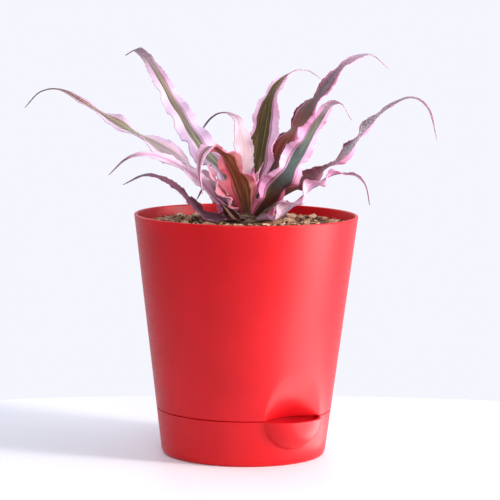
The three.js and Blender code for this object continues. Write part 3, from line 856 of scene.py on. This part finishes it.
HEART = dict(width=7, foot=142, waves=2, wave=0.2,
    upper=dict(band="khaki cream", edge="pink blush", share=0.25),
    under=dict(band="mauve pink", edge="rose pink", share=0.4, scurf=0.2))
HEART_LEAVES = {
    "heart_leaf_1": dict(HEART, heading=183, line=[(6, 152), (10, 163)]),
    "heart_leaf_2": dict(HEART, heading=-25, line=[(6, 150), (9, 157)]),
    "heart_leaf_3": dict(HEART, heading=260, line=[(6, 149), (8, 155)]),
}

leaf_skin, leaf_surface = plain_finish("leaf_skin", (0.7, 0.35, 0.5, 1), 0.5)
leaf_tree = leaf_surface.id_data
leaf_map = node(leaf_tree, "UVMap", {"uv_map": "blade"})
paint_of = {kind: node(leaf_tree, "Attribute", {"attribute_name": f"{kind}_paint"}) for kind in PAINTED}
level_of = {kind: node(leaf_tree, "Attribute", {"attribute_name": kind}, "Fac") for kind in LEVELS}


def sums(operation, *values):
    """The result of one arithmetic node."""
    sockets = {f"i{place}": value for place, value in enumerate(values)}
    return node(leaf_tree, "Math", {"operation": operation}, **sockets)


def covered(share, low, high):
    """One colour covered by another by a share."""
    return node(leaf_tree, "Mix", {"data_type": "RGBA"}, 2, i0=share, i6=low, i7=high)


# where on the blade: 0 at the rib and 1 at the margins, with a ragged border
ragged = noisy(stretched(leaf_map, (5, 9, 1)), 1, 3)
ragged = sums("MULTIPLY", sums("SUBTRACT", ragged, 0.5), 0.30)
over = sums("SUBTRACT", sums("MULTIPLY", node(leaf_tree, "SeparateXYZ", Vector=leaf_map), 2.0), 1.0)
beside = sums("ADD", sums("ABSOLUTE", sums("SUBTRACT", over, level_of["offset"])), ragged)
past_band = sums("SUBTRACT", beside, level_of["share"])
edge_share = ranged(past_band, (-0.07, 0.07), smooth=True)
line_share = ranged(sums("ABSOLUTE", sums("SUBTRACT", past_band, 0.09)), (0, 0.09), (0.75, 0), smooth=True)
# fine lines along the blade
veins = noisy(stretched(leaf_map, (26, 2.2, 1)), 1, 5, 0.6)
fine = noisy(stretched(leaf_map, (70, 5, 1)), 1, 3)
streaks = ranged(veins, (0.52, 0.62), (0, 0.7), smooth=True)
band_lined = scaled(paint_of["band"], ranged(veins, (0.35, 0.68), (0.72, 1.28)))
band_lined = covered(streaks, band_lined, paint_of["streak"])
edge_lined = scaled(paint_of["edge"], ranged(fine, (0.3, 0.7), (0.88, 1.12)))
edge_lined = covered(sums("MULTIPLY", streaks, level_of["stripes"]), edge_lined, paint_of["line"])
leaf_colour = covered(edge_share, band_lined, edge_lined)
leaf_colour = covered(line_share, leaf_colour, paint_of["line"])
# the very rim of the margin is darker
rim_share = sums("MULTIPLY", ranged(sums("ABSOLUTE", over), (0.93, 1)), level_of["rim"])
leaf_colour = covered(rim_share, leaf_colour, (*PAINTS["mauve"], 1))
# silvery spots of scurf on the band
scurf_share = ranged(noisy(object_place(leaf_surface), SCURF_SCALE, 3, 0.6), (0.4, 0.66), (0, 0.6))
scurf_share = sums("MULTIPLY", scurf_share, level_of["scurf"])
scurf_share = sums("MULTIPLY", scurf_share, sums("SUBTRACT", 1.0, edge_share))
leaf_colour = covered(scurf_share, leaf_colour, (*PAINTS["silver"], 1))
feed(leaf_surface, "Base Color", leaf_colour)
relief(leaf_surface, sums("ADD", veins, sums("MULTIPLY", fine, 0.5)), 0.55, 0.0004)
soft_inside(leaf_surface, 0.2, 0.45, (0.003, 0.0016, 0.0018))


def mixed(low, high, share):
    """The value that lies a share of the way from low to high."""
    return low + (high - low) * share


def share_of(value, low, high):
    """How far a value has come from low to high, from 0 to 1."""
    return np.clip((value - low) / (high - low), 0, 1)


def spread_along(stops, along):
    """Values that are spread evenly from foot to tip, read at places between."""
    stops = np.atleast_1d(stops)
    return np.interp(along, np.linspace(0, 1, len(stops)), stops)


def middle_line(leaf):
    """Dense points of the smooth line down a leaf's middle, and their lengths."""
    stem = stem_radius(leaf["foot"]) + GAP
    out, height = leaf["line"][0][:2]
    steepness = sin(atan2(height - leaf["foot"], out - stem))
    half = BASE_SHARE * leaf["width"] / 2
    rib = stem + steepness * SOLID_RIB / 2
    margin = sqrt((stem + steepness * SOLID_MARGIN / 2) ** 2 - half**2)
    reach = max(rib, margin + steepness * BASE_CHANNEL * half)
    stops = [(reach, leaf["foot"], leaf.get("turn", 0)), *leaf["line"]]
    points = []
    for out, height, *turn in stops:
        angle = radians(leaf["heading"] + (turn[0] if turn else 0))
        points.append(np.array((out * cos(angle), out * sin(angle), height)))
    points = [2 * points[0] - points[1], *points, 2 * points[-1] - points[-2]]
    w = np.linspace(0, 1, LINE_STEPS, endpoint=False)[:, None]
    dense = []
    for before, start, end, after in zip(points, points[1:], points[2:], points[3:]):
        lead, trail = (end - before) / 2, (after - start) / 2
        curve = start + lead * w + (3 * (end - start) - 2 * lead - trail) * w**2
        dense.append(curve + (2 * (start - end) + lead + trail) * w**3)
    dense = np.vstack([*dense, points[-2][None]])
    lengths = np.concatenate([[0], np.cumsum(np.linalg.norm(np.diff(dense, axis=0), axis=1))])
    return dense, lengths


def unit(vectors):
    """Directions of vectors."""
    return vectors / np.linalg.norm(vectors, axis=-1, keepdims=True)


def directions(leaf, place, along):
    """Directions ahead, to the left and upwards along a leaf's line, with its roll."""
    heading = unit(np.gradient(place, axis=0))
    side = unit(np.stack([-place[:, 1], place[:, 0], np.zeros(len(place))], axis=-1))
    above = unit(np.cross(heading, side))
    side = unit(np.cross(above, heading))
    roll = (np.radians(leaf.get("roll", 0)) * np.minimum(1, along / WIDEST_AT))[:, None]
    rolled_side = side * np.cos(roll) + above * np.sin(roll)
    return heading, rolled_side, above * np.cos(roll) - side * np.sin(roll)


def half_widths(leaf, along):
    """Half the width along a leaf, which widens from its foot and tapers to its tip."""
    rising = mixed(BASE_SHARE, 1, np.sin(pi / 2 * np.minimum(1, along / WIDEST_AT)))
    past = np.maximum(0, along - WIDEST_AT) / (1 - WIDEST_AT)
    falling = np.maximum(0, 1 - (past / leaf.get("tail", TAIL)) ** TAPER_POWER)
    falling *= np.sqrt(np.clip((1 - along) / ROUND_END, 0, 1))
    least = mixed(TIP_HALF_WIDTH, END_HALF_WIDTH, share_of(along, END_FROM, 1))
    return np.maximum(least, leaf["width"] / 2 * rising * falling)


def either_side(s, t, rates, starts):
    """Sines along a blade, of one rate on its left and another on its right."""
    return np.where(s > 0, np.sin(rates[0] * t + starts[0]), np.sin(rates[1] * t + starts[1]))


def waved(leaf, along, across, luck):
    """How far each place of a blade is lifted, and how far it is spread out."""
    s = across[None, :]
    t = along[:, None]
    grown = np.minimum(1, t / WAVES_GROW_BY)
    shift = luck.uniform(0, 2 * pi, 8)
    quarters = 4 * leaf["waves"] * t + leaf.get("phase", 0) + np.where(s > 0, leaf.get("lag", 1), 0)
    quarters = quarters + WAVE_DRIFT * either_side(s, t, DRIFT_RATES, shift[4:6])
    quarters = quarters + leaf.get("slow", 0) * np.maximum(0, SLOW_UNTIL - t)
    swell = 1 + WAVE_SWELL * either_side(s, t, SWELL_RATES, shift[6:8])
    swell *= mixed(1, CALM_SHARE, share_of(t, *WAVES_CALM))
    wave = leaf["wave"] * grown * np.abs(s) ** WAVE_POWER * np.sin(pi / 2 * quarters) * swell
    turns = 2 * pi * leaf["waves"]
    ripples = either_side(s, t, [turns * rate for rate in RIPPLE_RATES], shift[[2, 0]])
    fine_ripples = either_side(s, t, [turns * rate for rate in FINE_RIPPLE_RATES], shift[[3, 1]])
    ripple = leaf.get("ripple", RIPPLE) * grown * s**4 * (ripples + fine_ripples * FINE_RIPPLE)
    channel = mixed(BASE_CHANNEL, TIP_CHANNEL, np.minimum(1, t / WIDEST_AT)) * s**2
    spread_out = 1 + WAVE_SPREAD * grown * np.abs(s) ** 3 * np.cos(pi / 2 * quarters * 2)
    spread_out = spread_out * np.where(s < 0, spread_along(leaf.get("pinch", 1), t), 1)
    return channel + wave + ripple, spread_out


def blade_grid(rows):
    """A flat grid extruded to two faces, whose corners know their places."""
    blade = bmesh.new()
    bmesh.ops.create_grid(blade, x_segments=STEPS_ACROSS, y_segments=rows, size=1)
    layers = [blade.verts.layers.float.new(layer) for layer in PLACE_LAYERS]
    for vert in blade.verts:
        for layer, value in zip(layers, (vert.co.x, (vert.co.y + 1) / 2, -1)):
            vert[layer] = value
    upper = bmesh.ops.extrude_face_region(blade, geom=blade.faces[:])["geom"]
    for vert in upper:
        if isinstance(vert, bmesh.types.BMVert):
            vert[layers[2]] = 1
    return blade, layers


def paint_blade(mesh, leaf):
    """Gives each corner of a blade the paints and levels of its face and side."""
    count = len(mesh.vertices)
    read = {}
    for layer in PLACE_LAYERS:
        read[layer] = np.empty(count, dtype=np.float32)
        mesh.attributes[layer].data.foreach_get("value", read[layer])
    along = read["along"]
    on_top = read["face"] > 0
    on_left = read["across"][:, None] > 0
    near_tip = share_of(along, *TIP_PAINT)[:, None] * leaf.get("tipped", 1)
    tip_paint = np.array(PAINTS[leaf.get("tip", "mauve")])
    looks = [{**UPPER, **leaf.get("upper", {})}, {**UNDER, **leaf.get("under", {})}]

    def tones(names):
        colours = np.array([PAINTS[name] for name in names.split()])
        return np.stack([spread_along(colours[:, i], along) for i in range(3)], axis=-1)

    for kind in PAINTED:
        faces = []
        for look in looks:
            both = look.get(kind, look["line"])
            left = tones(look.get(f"{kind}_left", both))
            right = tones(look.get(f"{kind}_right", both))
            faces.append(mixed(np.where(on_left, left, right), tip_paint, near_tip))
        colours = np.concatenate([np.where(on_top[:, None], *faces), np.ones((count, 1))], axis=1)
        attribute = mesh.attributes.new(f"{kind}_paint", "FLOAT_COLOR", "POINT")
        attribute.data.foreach_set("color", colours.astype(np.float32).ravel())
    for kind in LEVELS:
        values = np.where(on_top, *[spread_along(look[kind], along) for look in looks])
        attribute = mesh.attributes.new(kind, "FLOAT", "POINT")
        attribute.data.foreach_set("value", values.astype(np.float32))


def grow_leaf(name, leaf, slot, seed):
    """Makes one blade: a grid shaped along its line, thickened, toothed and painted."""
    luck = np.random.default_rng(seed)
    dense, lengths = middle_line(leaf)
    rows = max(LEAST_ROWS, 2 * TOOTH_ROWS * round(lengths[-1] / ROW_LENGTH / 2 / TOOTH_ROWS))
    along = np.linspace(0, 1, rows + 1)
    across = np.linspace(-1, 1, STEPS_ACROSS + 1)
    place = np.stack([np.interp(along * lengths[-1], lengths, dense[:, i]) for i in range(3)], axis=-1)
    heading, side, above = directions(leaf, place, along)
    half = half_widths(leaf, along)[:, None]
    lift, spread_out = waved(leaf, along, across, luck)
    points = place[:, None] + side[:, None] * (across * half * spread_out)[..., None]
    points += above[:, None] * (lift * half)[..., None]
    facing = unit(np.cross(np.gradient(points, axis=0), np.gradient(points, axis=1)))
    thick = mixed(RIB_THICKNESS, MARGIN_THICKNESS, np.abs(across) ** THICKNESS_POWER)
    thick = np.minimum(thick * (1 - TIP_THINNING * along[:, None]), STOUTEST * half)

    # teeth: every few rows the margin's edge steps out and towards the tip
    tooth = (np.arange(rows + 1) % TOOTH_ROWS == 2) * share_of(half[:, 0], *TOOTH_WIDTHS)
    tooth *= luck.uniform(*TOOTH_LUCK, rows + 1) * share_of(along, 0, TEETH_GROW_BY)
    for column, sign in ((0, -1), (STEPS_ACROSS, 1)):
        outward = side * sign + heading * TOOTH_LEAN
        points[:, column] += outward * (tooth * leaf.get("tooth", TOOTH_SIZE))[:, None]

    blade, layers = blade_grid(rows)
    face_points = {face: points + facing * (face * thick / 2)[..., None] for face in (1, -1)}
    for vert in blade.verts:
        row = round(vert[layers[1]] * rows)
        column = round((vert[layers[0]] + 1) / 2 * STEPS_ACROSS)
        vert.co = face_points[round(vert[layers[2]])][row, column]
    bmesh.ops.recalc_face_normals(blade, faces=blade.faces)
    unwrap = blade.loops.layers.uv.new("blade")
    for face in blade.faces:
        for loop in face.loops:
            loop[unwrap].uv = ((loop.vert[layers[0]] + 1) / 2, loop.vert[layers[1]])
    paint_blade(piece(name, blade, [leaf_skin], slot, name.removesuffix("_blade"), sharp=70).data, leaf)


for number, (name, leaf) in enumerate(LEAVES.items()):
    grow_leaf(f"{name}_blade", leaf, "leaf", number)

# The heart: three young leaves, still pale, that stand in the rosette's middle.
for number, (name, leaf) in enumerate(HEART_LEAVES.items()):
    grow_leaf(f"{name}_blade", leaf, "heart_leaf", 100 + number)
